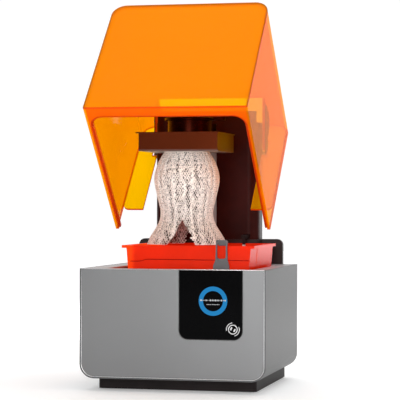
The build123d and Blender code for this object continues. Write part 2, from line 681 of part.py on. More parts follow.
# A lobed vase-like print that hangs from the platform and ends in two legs with an arch between them.
ARCH_TURN = radians(13.0)
print_profile = ((45.0, 0), (64.0, -52.0), (60.0, -82.0), (53.5, -113.0), (60.0, -145.0), (76.0, -PRINT_H))
with BuildPart() as printed_model:
    with BuildSketch(Plane(origin=(0, PLATE_MID_Y, PLATE_Z), x_dir=(1, 0, 0), z_dir=(0, -1, 0))):
        with BuildLine():
            Spline(*print_profile)
            Polyline(print_profile[-1], (0, -PRINT_H), (0, 0), print_profile[0])
        make_face()
    revolve(axis=Axis((0, PLATE_MID_Y, PLATE_Z), (0, 0, 1)))
    with BuildSketch(Plane(origin=(0, PLATE_MID_Y, PLATE_Z), x_dir=(1, 0, 0), z_dir=(0, -1, 0))):
        with BuildLine():
            Spline(*[(radius - PRINT_T, z) for radius, z in print_profile])
            Polyline((76.0 - PRINT_T, -PRINT_H), (0, -PRINT_H), (0, -PRINT_T))
            Line((0, -PRINT_T), (45.0 - PRINT_T, -PRINT_T))
            Line((45.0 - PRINT_T, -PRINT_T), (45.0 - PRINT_T, 0))
        make_face()
    revolve(axis=Axis((0, PLATE_MID_Y, PLATE_Z), (0, 0, 1)), mode=Mode.SUBTRACT)
    arch = Plane(origin=(-10.0, PLATE_MID_Y, PLATE_Z - PRINT_H), x_dir=(cos(ARCH_TURN), sin(ARCH_TURN), 0),
                 z_dir=(sin(ARCH_TURN), -cos(ARCH_TURN), 0))
    with BuildSketch(arch):
        with BuildLine():
            Spline((-26.0, -1.0), (-14.0, 26.0), (0, 50.0), (12.0, 26.0), (24.0, -1.0))
            Line((24.0, -1.0), (-26.0, -1.0))
        make_face()
    extrude(amount=90.0, both=True, mode=Mode.SUBTRACT)

# ---------------------------------------------------------------- resin tank
TANK_REAR = 90.0
TANK_FRONT = -128.0
RIM_Z = TANK_TOP - 5.0


def tank_outline(grow, inset=0.0, mode=Mode.ADD):
    """The tank's plan at one height, grown outwards at the sides; the front left corner is stepped."""
    left = -98.0 - grow + inset
    nose = -88.0 - grow / 4 + inset
    right = 135.5 + grow - inset
    front = TANK_FRONT + inset
    rear = TANK_REAR - inset
    outline((nose, front), (right, front), (right, rear), (left, rear), (left, -106.0 + inset),
            (nose, -106.0 + inset), mode=mode)


with BuildPart() as resin_tank:
    with BuildSketch(level(TANK_FLOOR)):
        tank_outline(0)
    with BuildSketch(level(RIM_Z)):
        tank_outline(4.0)
    loft()
    with BuildSketch(level(TANK_FLOOR + 3.0)):
        tank_outline(0.25, 2.5)
    with BuildSketch(level(RIM_Z)):
        tank_outline(4.0, 2.5)
    loft(mode=Mode.SUBTRACT)
    with BuildSketch(level(RIM_Z)):
        outline((-89.0, TANK_FRONT), (139.5, TANK_FRONT), (144.9, TANK_FRONT + 8.0), (144.9, TANK_REAR + 2.0),
                (-106.0, TANK_REAR + 2.0), (-106.0, TANK_FRONT + 4.0), (-100.0, TANK_FRONT))
        tank_outline(4.0, 2.5, Mode.SUBTRACT)
    extrude(amount=TANK_TOP - RIM_Z)
    with BuildSketch(level(TANK_FLOOR)):
        with Locations((0, PLATE_MID_Y)):
            Rectangle(2 * WINDOW_HALF + 8.0, 2 * WINDOW_HALF + 2.0)
    extrude(amount=3.0, mode=Mode.SUBTRACT)

with BuildPart() as tank_film:
    with BuildSketch(level(TANK_FLOOR + 3.0)):
        tank_outline(0, 3.0)
    extrude(amount=FILM_Z - TANK_FLOOR - 3.0)

with BuildPart() as tank_carrier:
    with BuildSketch(level(207.2)):
        box(-96.0, 132.0, -125.0, 86.0)
        with Locations((0, PLATE_MID_Y)):
            Rectangle(2 * WINDOW_HALF + 8.0, 2 * WINDOW_HALF)
        with Locations((0, PLATE_MID_Y)):
            Rectangle(2 * WINDOW_HALF + 8.0, 2 * WINDOW_HALF, mode=Mode.SUBTRACT)
    extrude(amount=2.8)
    with BuildSketch(level(210.0)):
        for x, y in ((-86.0, -96.0), (126.0, -118.0), (-90.0, 78.0), (126.0, 78.0)):
            with Locations((x, y)):
                Circle(5.0)
    extrude(amount=TANK_FLOOR - 210.0)

# ---------------------------------------------------------------- wiper
with BuildPart() as wiper_rail:
    with BuildSketch(side(WELL_X0)):
        with Locations((RAIL_Y, RAIL_Z)):
            Circle(3.0)
    extrude(amount=WELL_X1 - WELL_X0)

with BuildPart() as wiper_carriage:
    with BuildSketch(side(WIPER_X - 12.0)):
        box(RAIL_Y - 4.8, RAIL_Y + 4.8, RAIL_Z - 5.0, 215.0)
        with Locations((RAIL_Y, RAIL_Z)):
            Circle(3.06, mode=Mode.SUBTRACT)
    extrude(amount=24.0)

HANDLE_Y = -131.0
with BuildPart() as wiper_handle:
    with BuildSketch(upright(HANDLE_Y)):
        outline((WIPER_X - 16.0, 215.0), (WIPER_X + 15.5, 215.0), (WIPER_X + 14.5, 232.0),
                (WIPER_X + 11.5, 242.0), (WIPER_X + 10.5, 279.0), (WIPER_X - 9.5, 279.0),
                (WIPER_X - 11.0, 242.0), (WIPER_X - 15.0, 232.0))
        box(WIPER_X - 8.0, WIPER_X + 8.5, 244.5, 276.0, Mode.SUBTRACT, radius=4.5)
    extrude(amount=5.0)
    fillet(wiper_handle.edges().filter_by(Axis.Y).group_by(Axis.Z)[-1], 2.5)

with BuildPart() as wiper_bridge:
    with BuildSketch(level(270.0)):
        box(WIPER_X - 9.0, WIPER_X + 10.0, HANDLE_Y, -122.0)
    extrude(amount=7.0)
    with BuildSketch(level(229.0)):
        box(WIPER_X - 7.0, WIPER_X + 8.0, -124.9, -122.0)
    extrude(amount=42.0)
    with BuildSketch(level(228.0)):
        box(WIPER_X - 5.0, WIPER_X + 5.0, -124.0, 78.0)
    extrude(amount=8.0)

with BuildPart() as wiper_blade:
    with BuildSketch(level(FILM_Z + 0.3)):
        box(WIPER_X - 1.0, WIPER_X + 1.0, -121.0, 77.0)
    extrude(amount=228.0 - FILM_Z - 0.3)

# ---------------------------------------------------------------- resin supply
with BuildPart() as cartridge_body:
    with BuildSketch(level(292.0)):
        box(-92.0, 92.0, BAY_Y0 + 0.6, BAY_Y1 - 0.6, radius=6.0)
    extrude(amount=224.0)
    with BuildSketch(level(516.0)):
        box(-70.0, 30.0, BAY_Y0 + 2.0, BAY_Y1 - 2.0, radius=5.0)
        box(-58.0, 18.0, BAY_Y0 + 5.0, BAY_Y1 - 5.0, Mode.SUBTRACT, radius=3.0)
    extrude(amount=8.0)

with BuildPart() as cartridge_cap:
    with BuildSketch(level(516.0)):
        with Locations((62.0, (BAY_Y0 + BAY_Y1) / 2)):
            Circle(8.5)
    extrude(amount=4.0)
    chamfer(cartridge_cap.edges().group_by(Axis.Z)[-1], 0.8)

with BuildPart() as resin_spout:
    with BuildSketch(level(TOWER_FOOT_Z)):
        box(72.0, 96.0, 143.0, 161.0)
    extrude(amount=16.8)
    with BuildSketch(level(277.0)):
        box(79.0, 88.0, 78.0, 143.0)
    extrude(amount=7.0)
    with BuildSketch(level(262.0)):
        box(81.0, 86.0, 80.0, 86.0)
    extrude(amount=15.0)

# ---------------------------------------------------------------- cover
LID_X = COVER_X - COVER_T
with BuildPart() as cover_wrap:
    with BuildSketch(lid_upright(COVER_REAR)):
        bowl(COVER_X, COVER_TOP, COVER_LOW, COVER_R)
        bowl(LID_X, COVER_TOP - COVER_T, COVER_LOW - 1.0, COVER_R - COVER_T, Mode.SUBTRACT)
    extrude(amount=COVER_REAR - COVER_FRONT - COVER_T)
    with BuildSketch(lid_level(COVER_TOP - 6.0)):
        box(-NOTCH_X, NOTCH_X, NOTCH_Y, COVER_REAR + 1.0)
    extrude(amount=8.0, mode=Mode.SUBTRACT)

with BuildPart() as cover_front:
    with BuildSketch(lid_upright(COVER_FRONT + COVER_T)):
        bowl(COVER_X, COVER_TOP, COVER_LOW, COVER_R)
    extrude(amount=COVER_T)

with BuildPart() as cover_back:
    for direction in (-1, 1):
        with BuildSketch(lid_upright(COVER_REAR)):
            with BuildLine():
                Polyline((direction * (LID_X - 12.0), BACK_Z), (direction * NOTCH_X, BACK_Z),
                         (direction * NOTCH_X, 428.0), (direction * 117.0, 428.0), (direction * 117.0, 470.0),
                         (direction * NOTCH_X, 470.0), (direction * NOTCH_X, COVER_TOP - COVER_T),
                         (direction * (LID_X - 23.0), COVER_TOP - COVER_T))
                RadiusArc((direction * (LID_X - 23.0), COVER_TOP - COVER_T),
                          (direction * LID_X, COVER_TOP - COVER_T - 23.0), direction * 23.0)
                Line((direction * LID_X, COVER_TOP - COVER_T - 23.0), (direction * LID_X, BACK_Z + 12.0))
                RadiusArc((direction * LID_X, BACK_Z + 12.0), (direction * (LID_X - 12.0), BACK_Z),
                          direction * 12.0)
            make_face()
        extrude(amount=COVER_T)

LIP_Y = -141.0
with BuildPart() as cover_rim:
    with BuildSketch(lid_level(COVER_LOW)):
        box(-LID_X, LID_X, COVER_FRONT + COVER_T, COVER_REAR)
        bowl(LID_X - 1.95, LIP_Y, COVER_REAR + 1.0, 25.0, Mode.SUBTRACT)
    extrude(amount=5.0)

GUSSET_T = 5.5
with BuildPart() as hinge_gussets:
    for x in (-NOTCH_X - GUSSET_T, NOTCH_X):
        with BuildSketch(lid_side(x)):
            outline((NOTCH_Y, COVER_TOP - COVER_T), (COVER_REAR - COVER_T, COVER_TOP - COVER_T),
                    (COVER_REAR - COVER_T, COVER_TOP - COVER_T - COVER_REAR + COVER_T + NOTCH_Y))
            with Locations((96.0, 503.0), (111.0, 488.0), (126.0, 473.0)):
                Circle(2.1, mode=Mode.SUBTRACT)
        extrude(amount=GUSSET_T)

ARM_T = 2.0
with BuildPart() as hinge_arms:
    for x in (-NOTCH_X - GUSSET_T - ARM_T, NOTCH_X + GUSSET_T):
        with BuildSketch(lid_side(x)):
            with Locations((109.0, 480.0)):
                Circle(35.0)
            outline((60.0, 529.0), (60.0, 430.0), (159.0, 430.0), mode=Mode.SUBTRACT)
            outline((118.0, 474.0), (130.0, 480.0), (165.6, 454.9), (155.2, 437.5), (127.0, 459.0))
            with Locations((PIVOT_Y, PIVOT_Z)):
                Circle(10.0)
                Circle(PIN_R + 0.05, mode=Mode.SUBTRACT)
            with Locations((96.0, 503.0), (111.0, 488.0), (126.0, 473.0)):
                Circle(2.1, mode=Mode.SUBTRACT)
        extrude(amount=ARM_T)

with BuildPart() as hinge_screws:
    for direction in (-1, 1):
        with BuildSketch(lid_side(direction * NOTCH_X)):
            with Locations((96.0, 503.0), (111.0, 488.0), (126.0, 473.0)):
                Circle(2.0)
        extrude(amount=direction * (GUSSET_T + ARM_T))
        with BuildSketch(lid_side(direction * (NOTCH_X + GUSSET_T + ARM_T))):
            with Locations((96.0, 503.0), (111.0, 488.0), (126.0, 473.0)):
                Circle(3.6)
        extrude(amount=direction * 2.0)

# ---------------------------------------------------------------- output
pieces = {
    "base_foot": base_foot,
    "rubber_pads": rubber_pads,
    "base_shell": base_shell,
    "front_panel": front_panel,
    "rear_panel": rear_panel,
    "case_screws": case_screws,
    "rear_sockets": rear_sockets,
    "power_switch": power_switch,
    "deck_plate": deck_plate,
    "tank_well": tank_well,
    "optical_window": optical_window,
    "optics_frame": optics_frame,
    "main_mirror": main_mirror,
    "galvo_block": galvo_block,
    "galvo_mirror_x": galvo_mirror_x,
    "galvo_mirror_y": galvo_mirror_y,
    "laser_module": laser_module,
    "mainboard": mainboard,
    "power_supply": power_supply,
    "fan_frame": fan_frame,
    "fan_rotor": fan_rotor,
    "display_bezel": display_bezel,
    "display_glass": display_glass,
    "display_module": display_module,
    "panel_button": panel_button,
    "tower_base": tower_base,
    "tower_front": tower_front,
    "tower_rear": tower_rear,
    "hinge_pins": hinge_pins,
    "z_column": z_column,
    "linear_rail": linear_rail,
    "z_motor": z_motor,
    "lead_screw": lead_screw,
    "rail_block": rail_block,
    "lead_nut": lead_nut,
    "z_arm": z_arm,
    "build_plate": build_plate,
    "platform_body": platform_body,
    "platform_lid": platform_lid,
    "platform_hub": platform_hub,
    "latch_lever": latch_lever,
    "printed_model": printed_model,
    "resin_tank": resin_tank,
    "tank_film": tank_film,
    "tank_carrier": tank_carrier,
    "wiper_rail": wiper_rail,
    "wiper_carriage": wiper_carriage,
    "wiper_handle": wiper_handle,
    "wiper_bridge": wiper_bridge,
    "wiper_blade": wiper_blade,
    "cartridge_body": cartridge_body,
    "cartridge_cap": cartridge_cap,
    "resin_spout": resin_spout,
    "cover_wrap": cover_wrap,
    "cover_front": cover_front,
    "cover_back": cover_back,
    "cover_rim": cover_rim,
    "hinge_gussets": hinge_gussets,
    "hinge_arms": hinge_arms,
    "hinge_screws": hinge_screws,
}

os.makedirs("parts", exist_ok=True)
for name, piece in pieces.items():
    piece.part.label = name
    export_step(piece.part, f"parts/{name}.step")
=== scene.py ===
import random
from math import cos, hypot, pi, radians, sin

import bmesh
import bpy
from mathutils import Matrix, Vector


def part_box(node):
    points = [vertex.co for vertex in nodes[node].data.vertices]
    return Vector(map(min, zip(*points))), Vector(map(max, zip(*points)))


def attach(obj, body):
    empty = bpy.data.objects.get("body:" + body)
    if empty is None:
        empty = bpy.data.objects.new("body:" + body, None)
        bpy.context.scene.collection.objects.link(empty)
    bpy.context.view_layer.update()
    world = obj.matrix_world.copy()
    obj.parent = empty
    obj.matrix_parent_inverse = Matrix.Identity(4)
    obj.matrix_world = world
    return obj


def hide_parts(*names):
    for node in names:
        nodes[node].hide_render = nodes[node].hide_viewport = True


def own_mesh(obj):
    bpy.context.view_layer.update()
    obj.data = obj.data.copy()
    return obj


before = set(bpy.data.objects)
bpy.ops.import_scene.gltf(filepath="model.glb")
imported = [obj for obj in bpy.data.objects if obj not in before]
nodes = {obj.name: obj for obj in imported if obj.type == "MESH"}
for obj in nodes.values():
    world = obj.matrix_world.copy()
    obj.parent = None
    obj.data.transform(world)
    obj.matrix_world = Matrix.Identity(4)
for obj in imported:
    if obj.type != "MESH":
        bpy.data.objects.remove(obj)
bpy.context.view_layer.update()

rng = random.Random(7)
MM = 0.001
AXIS_X, AXIS_Y, AXIS_Z = Vector((1, 0, 0)), Vector((0, 1, 0)), Vector((0, 0, 1))

# The cover's own directions while it stands open.
OPEN = radians(45)
PIVOT = Vector((0, 0.1604, 0.446))
LID_Y = Vector((0, cos(OPEN), -sin(OPEN)))
LID_Z = Vector((0, sin(OPEN), cos(OPEN)))


def lid(x, y, z):
    """A point of the closed cover, in millimetres, where it stands with the cover open."""
    hinge = Vector((x * MM, PIVOT.y, PIVOT.z))
    return hinge + LID_Y * (y * MM - PIVOT.y) + LID_Z * (z * MM - PIVOT.z)


# ------------------------------------------------------------------ node graphs
class Graph:
    """A material under construction."""

    def __init__(self, name):
        self.mat = bpy.data.materials.new(name)
        self.mat.use_nodes = True
        self.tree = self.mat.node_tree
        self.tree.nodes.clear()
        self.out = self.tree.nodes.new("ShaderNodeOutputMaterial")
        self.where = self.tree.nodes.new("ShaderNodeTexCoord")

    def add(self, kind, **settings):
        n = self.tree.nodes.new("ShaderNode" + kind)
        for key, value in settings.items():
            setattr(n, key, value)
        return n

    def link(self, source, target):
        if isinstance(source, bpy.types.NodeSocket):
            self.tree.links.new(source, target)
        else:
            target.default_value = source

    def scaled(self, scale):
        """Object coordinates, scaled per axis."""
        m = self.add("Mapping")
        self.link(self.where.outputs["Object"], m.inputs["Vector"])
        m.inputs["Scale"].default_value = scale
        return m.outputs["Vector"]

    def noise(self, scale, detail=4.0, rough=0.6, stretch=(1, 1, 1)):
        n = self.add("TexNoise")
        self.link(self.scaled(stretch), n.inputs["Vector"])
        n.inputs["Scale"].default_value = scale
        n.inputs["Detail"].default_value = detail
        n.inputs["Roughness"].default_value = rough
        return n.outputs["Fac"]

    def ramp(self, fac, low, high, start=0.0, end=1.0):
        n = self.add("MapRange")
        self.link(fac, n.inputs["Value"])
        n.inputs["From Min"].default_value = start
        n.inputs["From Max"].default_value = end
        n.inputs["To Min"].default_value = low
        n.inputs["To Max"].default_value = high
        return n.outputs["Result"]

    def math(self, operation, a, b=0.0):
        n = self.add("Math", operation=operation)
        self.link(a, n.inputs[0])
        self.link(b, n.inputs[1])
        return n.outputs[0]

    def blend(self, fac, a, b):
        n = self.add("Mix", data_type="RGBA")
        self.link(fac, n.inputs[0])
        self.link(a if isinstance(a, bpy.types.NodeSocket) else (*a, 1), n.inputs[6])
        self.link(b if isinstance(b, bpy.types.NodeSocket) else (*b, 1), n.inputs[7])
        return n.outputs[2]

    def bump(self, height, strength, distance=0.0005):
        n = self.add("Bump")
        n.inputs["Strength"].default_value = strength
        n.inputs["Distance"].default_value = distance
        self.link(height, n.inputs["Height"])
        return n.outputs["Normal"]

    def facing(self, axis):
        """How far the surface's own normal lies along an axis of the object, from 0 to 1."""
        n = self.add("VectorMath", operation="DOT_PRODUCT")
        self.link(self.where.outputs["Normal"], n.inputs[0])
        n.inputs[1].default_value = axis
        return self.math("ABSOLUTE", n.outputs["Value"])

    def surface(self, **inputs):
        n = self.add("BsdfPrincipled")
        for key, value in inputs.items():
            socket = n.inputs[key.replace("_", " ")]
            if isinstance(value, tuple) and len(value) == 3:
                value = (*value, 1)
            self.link(value, socket)
        return n.outputs[0]

    def mix(self, fac, a, b):
        n = self.add("MixShader")
        self.link(fac, n.inputs[0])
        self.link(a, n.inputs[1])
        self.link(b, n.inputs[2])
        return n.outputs[0]

    def done(self, shader):
        self.link(shader, self.out.inputs["Surface"])
        return self.mat


def tone(color, factor):
    return tuple(min(1.0, c * factor) for c in color)


def moulded(name, color, rough=0.45, grain=1400.0, depth=0.12, spread=0.25, shine=0.4):
    """Injection-moulded plastic: a fine spark-eroded grain, and slight variation in tone and gloss."""
    g = Graph(name)
    broad = g.noise(18.0, 3.0)
    fine = g.noise(grain, 2.0)
    return g.done(g.surface(
        Base_Color=g.blend(g.ramp(broad, 0, 1, 0.3, 0.7), tone(color, 1 - spread), tone(color, 1 + spread)),
        Roughness=g.ramp(fine, rough - 0.06, rough + 0.08, 0.3, 0.7),
        Specular_IOR_Level=shine,
        Normal=g.bump(fine, depth, 0.0004)))


def metal(name, color, rough=0.35, streak=(1, 1, 1), scale=900.0, depth=0.06, spread=0.06, metallic=1.0):
    """Bare or anodised metal with a fine directional finish and a soft change of gloss over its length."""
    g = Graph(name)
    line = g.noise(scale, 3.0, 0.65, streak)
    broad = g.noise(6.0, 3.0)
    base = g.blend(line, tone(color, 1 - spread), tone(color, 1 + spread))
    return g.done(g.surface(
        Base_Color=g.blend(g.ramp(broad, 0, 0.5, 0.35, 0.65), base, tone(color, 1 + 1.5 * spread)),
        Metallic=metallic,
        Roughness=g.ramp(line, rough - 0.05, rough + 0.07, 0.3, 0.7),
        Normal=g.bump(line, depth, 0.0002)))


def acrylic(name, axis, edge_on, tint=(1.0, 0.66, 0.004), glow=(1.0, 0.47, 0.001), body=0.30,
            edge=(0.66, 0.085, 0.002), rough=0.10):
    """Tinted sheet. It passes part of the light and glows with the rest, and its cut edges look deeper.

    axis is the direction that tells a cut edge from a face: edge_on is 1 where a cut edge faces along it.
    """
    g = Graph(name)
    along = g.facing(axis)
    cut = g.ramp(along, 0, 1, 0.55, 0.8) if edge_on else g.ramp(along, 1, 0, 0.2, 0.45)
    cloud = g.noise(7.0, 2.0)
    dust = g.noise(420.0, 2.0)
    color = g.blend(g.ramp(cloud, 0, 1, 0.3, 0.7), tone(glow, 0.95), glow)
    sheet = g.surface(
        Base_Color=g.blend(cut, color, edge),
        Roughness=g.ramp(dust, rough - 0.03, rough + 0.05, 0.35, 0.65),
        Specular_IOR_Level=0.12,
        Normal=g.bump(cloud, 0.02, 0.002))
    through = g.add("BsdfTranslucent")
    g.link(g.blend(cut, glow, edge), through.inputs["Color"])
    clear = g.add("BsdfTransparent")
    g.link(g.blend(cut, tint, (0.85, 0.20, 0.01)), clear.inputs["Color"])
    lit = g.mix(0.45, sheet, through.outputs[0])
    return g.done(g.mix(g.ramp(cut, body, 0.86), clear.outputs[0], lit))


def glow(name, color, strength):
    """A lit area of the display, slightly uneven from dot to dot."""
    g = Graph(name)
    dots = g.noise(2600.0, 0.0)
    n = g.add("Emission")
    g.link(g.blend(dots, tone(color, 0.9), color), n.inputs["Color"])
    n.inputs["Strength"].default_value = strength
    return g.done(n.outputs[0])


def thread(name, color, pitch, depth=0.8):
    """Metal with the turns of a screw thread along Z."""
    g = Graph(name)
    split = g.add("SeparateXYZ")
    g.link(g.where.outputs["Object"], split.inputs[0])
    turn = g.math("MULTIPLY", split.outputs["Z"], 2 * pi / pitch)
    wave = g.math("SINE", turn)
    return g.done(g.surface(
        Base_Color=g.blend(g.ramp(wave, 0, 1, -1, 1), tone(color, 0.45), color),
        Metallic=1.0,
        Roughness=g.ramp(g.noise(900.0), 0.25, 0.4),
        Normal=g.bump(wave, depth, 0.001)))


def board(name):
    """A circuit board: traces under green lacquer."""
    g = Graph(name)
    brick = g.add("TexBrick")
    g.link(g.where.outputs["Object"], brick.inputs["Vector"])
    brick.inputs["Scale"].default_value = 60.0
    brick.inputs["Mortar Size"].default_value = 0.06
    brick.inputs["Color1"].default_value = (0.010, 0.085, 0.030, 1)
    brick.inputs["Color2"].default_value = (0.014, 0.110, 0.038, 1)
    brick.inputs["Mortar"].default_value = (0.030, 0.190, 0.070, 1)
    return g.done(g.surface(
        Base_Color=g.blend(g.noise(40.0), brick.outputs["Color"], (0.008, 0.06, 0.02)),
        Roughness=g.ramp(g.noise(300.0), 0.25, 0.4), Coat_Weight=0.4))


def resin(name, color, through, share, bright_x, lit, rough=0.2):
    """Tinted moulded resin: deep, with a painted glow, an emission that stands in for light passing through
    it, and brighter towards its thin end.

    bright_x is where along X the painted glow starts and stops getting darker.
    """
    g = Graph(name)
    flow = g.noise(26.0, 3.0)
    fine = g.noise(700.0, 2.0)
    split = g.add("SeparateXYZ")
    g.link(g.where.outputs["Object"], split.inputs[0])
    # The emission below is a painted glow of light through the resin; this share makes it strongest towards
    # the thin end, at low X.
    thin = g.ramp(split.outputs["X"], 1, 0, *bright_x)
    sheet = g.surface(
        Base_Color=g.blend(g.ramp(flow, 0, 1, 0.3, 0.7), tone(color, 0.86), color),
        Roughness=g.ramp(fine, rough - 0.05, rough + 0.08),
        Specular_IOR_Level=0.14,
        Emission_Color=g.blend(thin, tone(color, 0.22), lit),
        Emission_Strength=1.0,
        Normal=g.bump(flow, 0.05, 0.002))
    back = g.add("BsdfTranslucent")
    g.link(g.blend(flow, tone(through, 0.9), through), back.inputs["Color"])
    clear = g.add("BsdfTransparent")
    g.link((*tone(through, 0.9), 1), clear.inputs["Color"])
    return g.done(g.mix(share, g.mix(0.4, sheet, back.outputs[0]), clear.outputs[0]))


def pane(name, color, haze=0.2):
    """Clear coated glass or silicone with a little haze."""
    g = Graph(name)
    film = g.noise(30.0, 2.0)
    sheet = g.surface(Base_Color=g.blend(film, tone(color, 0.6), color), Roughness=0.05,
                      Specular_IOR_Level=0.7)
    clear = g.add("BsdfTransparent")
    g.link((*color, 1), clear.inputs["Color"])
    return g.done(g.mix(g.ramp(film, haze, haze + 0.1), clear.outputs[0], sheet))


# One satin silver in three copies: the shell's darker copy is painted shade on its sides, and the deck's
# lighter copy is a painted reflection of the bright backdrop.
silver = metal("satin_silver", (0.168, 0.170, 0.172), 0.42, (60, 60, 4), 60.0, 0.05, 0.05, 0.85)
silver_painted_shade = metal("satin_silver_shell", (0.094, 0.095, 0.096), 0.42, (60, 60, 4), 60.0, 0.05, 0.05,
                     0.85)
silver_painted_reflection = metal("satin_silver_deck", (0.50, 0.50, 0.51), 0.42, (60, 4, 60), 60.0, 0.05, 0.05, 0.85)
steel = metal("ground_steel", (0.50, 0.50, 0.51), 0.22, (8, 8, 1), 220.0)
plain_steel = metal("zinc_plate", (0.42, 0.42, 0.41), 0.38, scale=500.0, spread=0.12)
cast = metal("machined_aluminium", (0.46, 0.46, 0.47), 0.36, (1, 14, 1), 160.0, 0.08, 0.10)
anodised = metal("dark_anodised", (0.052, 0.0095, 0.003), 0.42, (1, 1, 1), 1500.0, 0.10, 0.18, 1.0)
anodised_dark = metal("black_anodised", (0.034, 0.010, 0.005), 0.42, (1, 1, 1), 1500.0, 0.10, 0.18, 1.0)
hub_black = metal("hub_anodised", (0.013, 0.0020, 0.001), 0.28, (1, 1, 1), 1500.0, 0.06, 0.15, 1.0)
brass = metal("turned_brass", (0.60, 0.38, 0.12), 0.25, (1, 1, 12), 200.0)
black = moulded("black_plastic", (0.012, 0.010, 0.009))
foot_black = moulded("plinth_plastic", (0.012, 0.0085, 0.0085), 0.5, 900.0, 0.2, shine=0.1)
# The tower front's red tint is painted light, standing in for the orange light through the cover.
tower_black = moulded("tower_plastic", (0.026, 0.0026, 0.0015), 0.42, 1300.0, 0.12, shine=0.05)
tower_back = moulded("tower_back_plastic", (0.014, 0.0065, 0.0055), 0.42, 1300.0, 0.12, shine=0.2)
grey = moulded("grey_plastic", (0.085, 0.078, 0.082), 0.42, shine=0.3)
rubber = moulded("soft_rubber", (0.016, 0.015, 0.015), 0.7, 500.0, 0.3)
powder = moulded("powder_coat", (0.060, 0.058, 0.058), 0.5, 650.0, 0.35)
bottle = moulded("bottle_plastic", (0.022, 0.019, 0.019), 0.38, 1000.0)
lacquer = moulded("black_gloss", (0.0006, 0.0006, 0.0008), 0.14, 300.0, 0.01, shine=0.03)
circuit = board("circuit_board")


def bare_face(name, dark, bright):
    """A dark anodised piece whose level faces, above and below, are bare blasted metal."""
    g = Graph(name)
    fine = g.noise(1900.0, 2.0)
    bare = g.ramp(g.facing(AXIS_Z), 0, 1, 0.5, 0.8)
    return g.done(g.surface(
        Base_Color=g.blend(bare, dark, g.blend(fine, tone(bright, 0.9), bright)),
        Metallic=g.ramp(bare, 0.3, 0.9),
        Roughness=g.ramp(fine, 0.42, 0.55, 0.3, 0.7),
        Normal=g.bump(fine, 0.15, 0.0002)))


def two_tone(name, lower, upper, split_z):
    """Moulded plastic in two colours that meet at a height."""
    g = Graph(name)
    split = g.add("SeparateXYZ")
    g.link(g.where.outputs["Object"], split.inputs[0])
    fine = g.noise(1200.0, 2.0)
    above = g.math("GREATER_THAN", split.outputs["Z"], split_z)
    return g.done(g.surface(
        Base_Color=g.blend(above, g.blend(fine, tone(lower, 0.85), lower), upper),
        Roughness=g.ramp(fine, 0.36, 0.5),
        Specular_IOR_Level=0.1,
        Normal=g.bump(fine, 0.1, 0.0003)))


blasted = bare_face("blasted_aluminium", (0.060, 0.014, 0.005), (0.30, 0.27, 0.25))
spout = two_tone("spout_plastic", (0.62, 0.56, 0.52), (0.010, 0.0020, 0.0014), 0.2655)
mirror = metal("front_silvered", (0.88, 0.89, 0.90), 0.08, scale=40.0, depth=0.0, spread=0.01)
# The tank's emission is a painted glow, strongest at its left end.
tank_red = resin("tank_resin", (0.80, 0.028, 0.002), (1.0, 0.10, 0.003), 0.14, (-0.088, -0.079),
                 (0.62, 0.085, 0.002))
window = pane("coated_glass", (0.80, 0.86, 0.88))
silicone = pane("clear_silicone", (0.95, 0.32, 0.10), 0.35)

FINISH = {
    "base_foot": foot_black, "rubber_pads": rubber, "base_shell": silver_painted_shade, "front_panel": silver,
    "rear_panel": powder, "case_screws": plain_steel, "rear_sockets": black, "power_switch": lacquer,
    "deck_plate": silver_painted_reflection, "tank_well": black, "optical_window": window, "optics_frame": anodised_dark,
    "main_mirror": mirror, "galvo_block": cast, "galvo_mirror_x": mirror, "galvo_mirror_y": mirror,
    "laser_module": anodised_dark, "mainboard": circuit, "power_supply": plain_steel, "fan_frame": black,
    "fan_rotor": black, "display_bezel": black, "display_glass": lacquer, "display_module": black,
    "panel_button": lacquer, "tower_base": tower_back, "tower_front": tower_black, "tower_rear": tower_back,
    "hinge_pins": steel, "z_column": cast, "linear_rail": steel, "z_motor": black,
    "lead_screw": thread("screw_thread", (0.55, 0.55, 0.56), 0.002), "rail_block": plain_steel,
    "lead_nut": brass, "z_arm": anodised_dark, "build_plate": blasted, "platform_body": anodised,
    "platform_lid": anodised, "platform_hub": hub_black, "latch_lever": hub_black, "resin_tank": tank_red,
    "tank_film": silicone, "tank_carrier": black, "wiper_rail": steel, "wiper_carriage": black,
    "wiper_handle": grey, "wiper_bridge": grey, "wiper_blade": rubber, "cartridge_body": bottle,
    "cartridge_cap": grey, "resin_spout": spout,
    # The cover is one orange sheet, given its own tint per panel and on the rim: painted light and shade for
    # how light falls on each.
    "cover_wrap": acrylic("cover_sheet_wrap", LID_Y, True, (1.0, 0.60, 0.004), (1.0, 0.43, 0.001)),
    "cover_front": acrylic("cover_sheet_front", LID_Y, False, (1.0, 0.76, 0.004), (1.0, 0.55, 0.001)),
    "cover_back": acrylic("cover_sheet_back", LID_Y, False, (1.0, 0.80, 0.004), (1.0, 0.62, 0.001)),
    "cover_rim": acrylic("cover_rim_sheet", LID_Z, False, (1.0, 0.48, 0.004), (0.95, 0.27, 0.001), 0.48,
                          (0.95, 0.36, 0.02)),
    "hinge_gussets": acrylic("cover_sheet_gusset", AXIS_X, False),
    "hinge_arms": anodised_dark, "hinge_screws": plain_steel,
}

for name, finish in FINISH.items():
    for place in nodes[name].material_slots:
        place.material = finish


# ------------------------------------------------------------------ piece helpers
def piece(name, bm, mat, body, smooth=True):
    """A new piece from a bmesh, in the row frame, riding on a body."""
    bmesh.ops.recalc_face_normals(bm, faces=bm.faces)
    mesh = bpy.data.meshes.new(name)
    bm.to_mesh(mesh)
    bm.free()
    mesh.materials.append(mat)
    for p in mesh.polygons:
        p.use_smooth = smooth
    obj = bpy.data.objects.new(name, mesh)
    bpy.context.scene.collection.objects.link(obj)
    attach(obj, body)
    return obj


